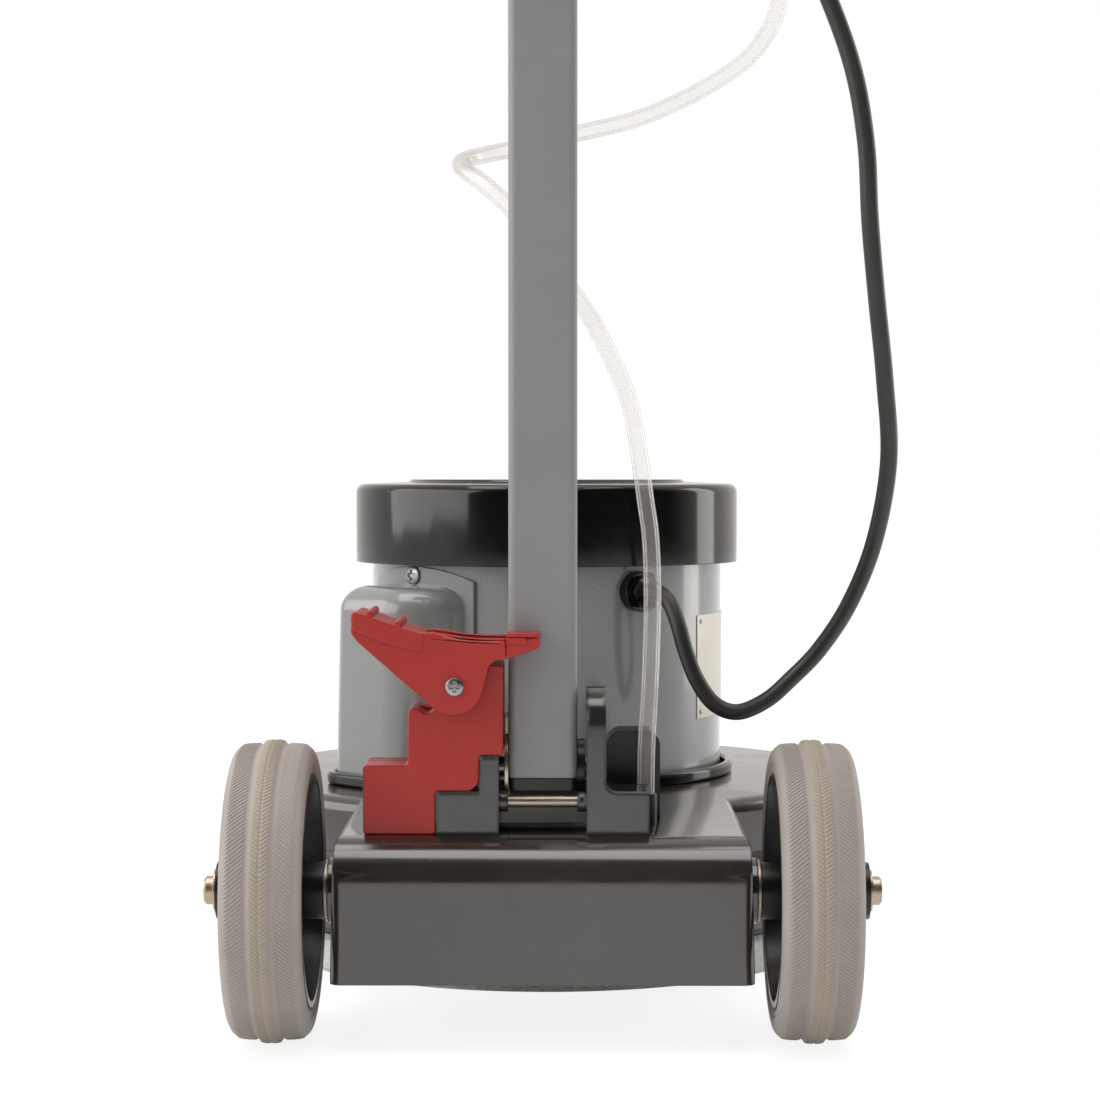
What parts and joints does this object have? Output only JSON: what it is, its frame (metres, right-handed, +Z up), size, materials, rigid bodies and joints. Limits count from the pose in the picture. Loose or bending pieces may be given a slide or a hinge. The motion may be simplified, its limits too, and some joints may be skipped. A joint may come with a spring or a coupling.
{
  "type": "single-disc floor machine",
  "caption": "Floor machine with a motor over a gear-driven pad disc, rear wheels, a tilting handle with levers, a foot lock and a solution tank.",
  "frame": {"origin": "on the floor, under the middle of the machine's box measured without its cable and hose", "axes": "+Z up, +Y from the wheels towards the motor and disc, +X to the right as seen from behind"},
  "size_m": [0.43, 0.6305, 1.121],
  "materials": {
    "deck_black": "gloss black paint on a casting",
    "motor_grey": "satin grey paint",
    "cover_black": "moulded, high gloss",
    "bracket_black": "black paint on a casting",
    "tube_grey": "satin powder coat",
    "lock_red": "moulded, satin",
    "tyre_grey": "non-marking grey rubber",
    "rim_black": "moulded, semi-matt",
    "zinc": "zinc plated",
    "steel": "machined",
    "winding": "laminations with copper windings",
    "rubber_black": "moulded rubber",
    "cable_black": "smooth rubber sheath",
    "hose_clear": "clear soft hose",
    "tank_white": "blow-moulded",
    "pad_white": "non-woven fibre",
    "button_yellow": "moulded"
  },
  "bodies": {
    "base": {"deck_housing": "deck_black", "bumper_ring": "rubber_black", "gearbox_housing": "steel", "ring_gear": "steel", "bearings": "steel", "motor_housing": "motor_grey", "stator": "winding", "motor_cover": "cover_black", "motor_rim": "rubber_black", "capacitor_cover": "motor_grey", "capacitor": "tank_white", "cover_screws": "zinc", "cable_gland": "cover_black", "handle_bracket": "bracket_black", "tie_rod": "zinc", "pivot_pin": "zinc", "lock_block": "lock_red", "pedal_screw": "zinc", "axle_shaft": "steel", "axle_washers": "zinc", "axle_caps": "zinc", "hose_inlet": "rim_black", "motor_cable": "cable_black", "solution_hose": "hose_clear"},
    "rotor": {"rotor_shaft": "steel", "rotor_core": "winding", "cooling_fan": "rim_black", "sun_gear": "steel"},
    "disc": {"planet_carrier": "steel", "planet_pins": "zinc", "drive_plate": "zinc", "pad_driver": "rim_black", "floor_pad": "pad_white"},
    "planet_1": {"planet_gear_1": "steel"},
    "planet_2": {"planet_gear_2": "steel"},
    "planet_3": {"planet_gear_3": "steel"},
    "wheel_left": {"tyre_left": "tyre_grey", "rim_left": "rim_black"},
    "wheel_right": {"tyre_right": "tyre_grey", "rim_right": "rim_black"},
    "pedal": {"foot_pedal": "lock_red"},
    "index_pin": {"lock_pin": "zinc"},
    "handle": {"handle_tube": "tube_grey", "tube_foot": "rim_black", "pivot_discs": "zinc", "tube_catch": "lock_red", "head_housing": "rim_black", "hand_bar": "steel", "hand_grips": "rubber_black", "head_glands": "rubber_black", "solution_tank": "tank_white", "tank_bracket": "tube_grey", "tank_tap": "rim_black", "lower_hook": "rim_black"},
    "lid": {"tank_lid": "rim_black"},
    "left_lever": {"lever_left": "rim_black"},
    "right_lever": {"lever_right": "rim_black"},
    "button": {"safety_button": "button_yellow"},
    "hook": {"cord_hook": "rim_black"},
    "tap": {"tap_lever": "lock_red"}
  },
  "joints": [
    {"name": "handle_tilt", "type": "hinge", "parent": "base", "child": "handle", "pos_m": [0, -0.20575, 0.157], "axis": [1, 0, 0], "range_deg": [0, 65], "deforming": ["motor_cable", "solution_hose"]},
    {"name": "wheel_left_spin", "type": "hinge", "parent": "base", "child": "wheel_left", "pos_m": [-0.1556, -0.22775, 0.0875], "axis": [1, 0, 0], "continuous": true},
    {"name": "wheel_right_spin", "type": "hinge", "parent": "base", "child": "wheel_right", "pos_m": [0.1556, -0.22775, 0.0875], "axis": [1, 0, 0], "continuous": true},
    {"name": "disc_spin", "type": "hinge", "parent": "base", "child": "disc", "pos_m": [0, 0.10025, 0.05], "axis": [0, 0, 1], "continuous": true},
    {"name": "rotor_spin", "type": "hinge", "parent": "base", "child": "rotor", "pos_m": [0, 0.10025, 0.2], "axis": [0, 0, 1], "continuous": true},
    {"name": "planet_1_spin", "type": "hinge", "parent": "disc", "child": "planet_1", "pos_m": [0.0405, 0.10025, 0.095], "axis": [0, 0, 1], "continuous": true},
    {"name": "planet_2_spin", "type": "hinge", "parent": "disc", "child": "planet_2", "pos_m": [-0.02025, 0.13532, 0.095], "axis": [0, 0, 1], "continuous": true},
    {"name": "planet_3_spin", "type": "hinge", "parent": "disc", "child": "planet_3", "pos_m": [-0.02025, 0.06518, 0.095], "axis": [0, 0, 1], "continuous": true},
    {"name": "foot_pedal_rock", "type": "hinge", "parent": "base", "child": "pedal", "pos_m": [-0.0503, -0.24, 0.2075], "axis": [0, 1, 0], "range_deg": [-7.4, 0]},
    {"name": "lock_pin_slide", "type": "slide", "parent": "base", "child": "index_pin", "axis": [1, 0, 0], "range_m": [0, 0.0027]},
    {"name": "lever_right_pull", "type": "hinge", "parent": "handle", "child": "right_lever", "pos_m": [0.056, -0.21775, 1.057], "axis": [0, 1, 0], "range_deg": [-5, 0], "stiffness_Nm_per_rad": 0.5, "springref_deg": 2.86},
    {"name": "lever_left_pull", "type": "hinge", "parent": "handle", "child": "left_lever", "pos_m": [-0.056, -0.21775, 1.057], "axis": [0, 1, 0], "range_deg": [0, 5], "stiffness_Nm_per_rad": 0.5, "springref_deg": -2.86},
    {"name": "safety_button_push", "type": "slide", "parent": "handle", "child": "button", "axis": [0, 1, 0], "range_m": [0, 0.003], "stiffness_N_per_m": 300, "springref_m": -0.002},
    {"name": "tank_lid_open", "type": "hinge", "parent": "handle", "child": "lid", "pos_m": [0, -0.16275, 0.936], "axis": [1, 0, 0], "range_deg": [0, 80]},
    {"name": "cord_hook_turn", "type": "hinge", "parent": "handle", "child": "hook", "pos_m": [0, -0.22575, 0.985], "axis": [0, 1, 0], "range_deg": [0, 180]},
    {"name": "tap_turn", "type": "hinge", "parent": "handle", "child": "tap", "pos_m": [0.149, -0.06975, 0.69], "axis": [0, 0, 1], "range_deg": [-90, 0]}
  ],
  "couplings": [
    {"joint": "rotor_spin", "follows": "disc_spin", "ratio": 9},
    {"joint": "planet_1_spin", "follows": "disc_spin", "ratio": -2.2857},
    {"joint": "planet_2_spin", "follows": "disc_spin", "ratio": -2.2857},
    {"joint": "planet_3_spin", "follows": "disc_spin", "ratio": -2.2857},
    {"joint": "lock_pin_slide", "follows": "foot_pedal_rock", "m_per_rad": -0.0203}
  ]
}
